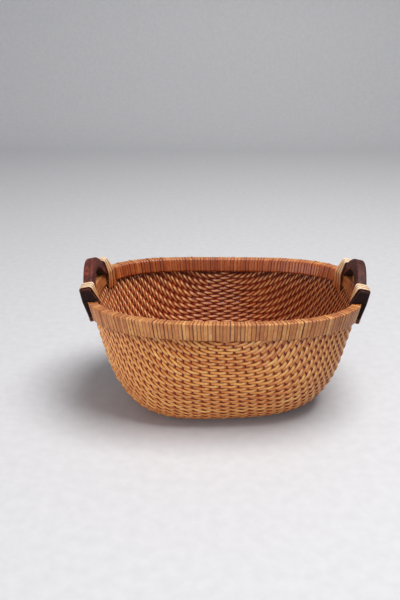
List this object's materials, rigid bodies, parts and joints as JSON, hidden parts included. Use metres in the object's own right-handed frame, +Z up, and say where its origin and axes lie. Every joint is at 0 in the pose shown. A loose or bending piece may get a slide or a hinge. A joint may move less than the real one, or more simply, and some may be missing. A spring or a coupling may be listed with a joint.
{
  "type": "woven basket",
  "caption": "Deep oval basket woven from round rods, with a cane-wrapped rim and a bent wooden handle lashed to each end.",
  "frame": {"origin": "on the floor, under the middle of the base", "axes": "+X along the rim's long side towards the right handle, -Y towards the front wall, +Z up"},
  "size_m": [0.4334, 0.3066, 0.2276],
  "materials": {
    "willow": "varnished honey-brown willow rods, satin",
    "hoop_wood": "smooth bent split wood, satin",
    "wrap_cane": "flat split cane, satin",
    "handle_wood": "dark red-brown oiled hardwood",
    "lashing_cane": "pale glossy cane strands"
  },
  "bodies": {
    "root": {"woven_body": "willow", "outer_rim_hoop": "hoop_wood", "inner_rim_hoop": "hoop_wood", "rim_filler_rod": "hoop_wood", "rim_wrap_front": "wrap_cane", "rim_wrap_back": "wrap_cane", "handle_left": "handle_wood", "handle_right": "handle_wood", "lashing_left_front_1": "lashing_cane", "lashing_left_front_2": "lashing_cane", "lashing_left_front_3": "lashing_cane", "lashing_left_back_1": "lashing_cane", "lashing_left_back_2": "lashing_cane", "lashing_left_back_3": "lashing_cane", "lashing_right_front_1": "lashing_cane", "lashing_right_front_2": "lashing_cane", "lashing_right_front_3": "lashing_cane", "lashing_right_back_1": "lashing_cane", "lashing_right_back_2": "lashing_cane", "lashing_right_back_3": "lashing_cane"}
  },
  "joints": []
}
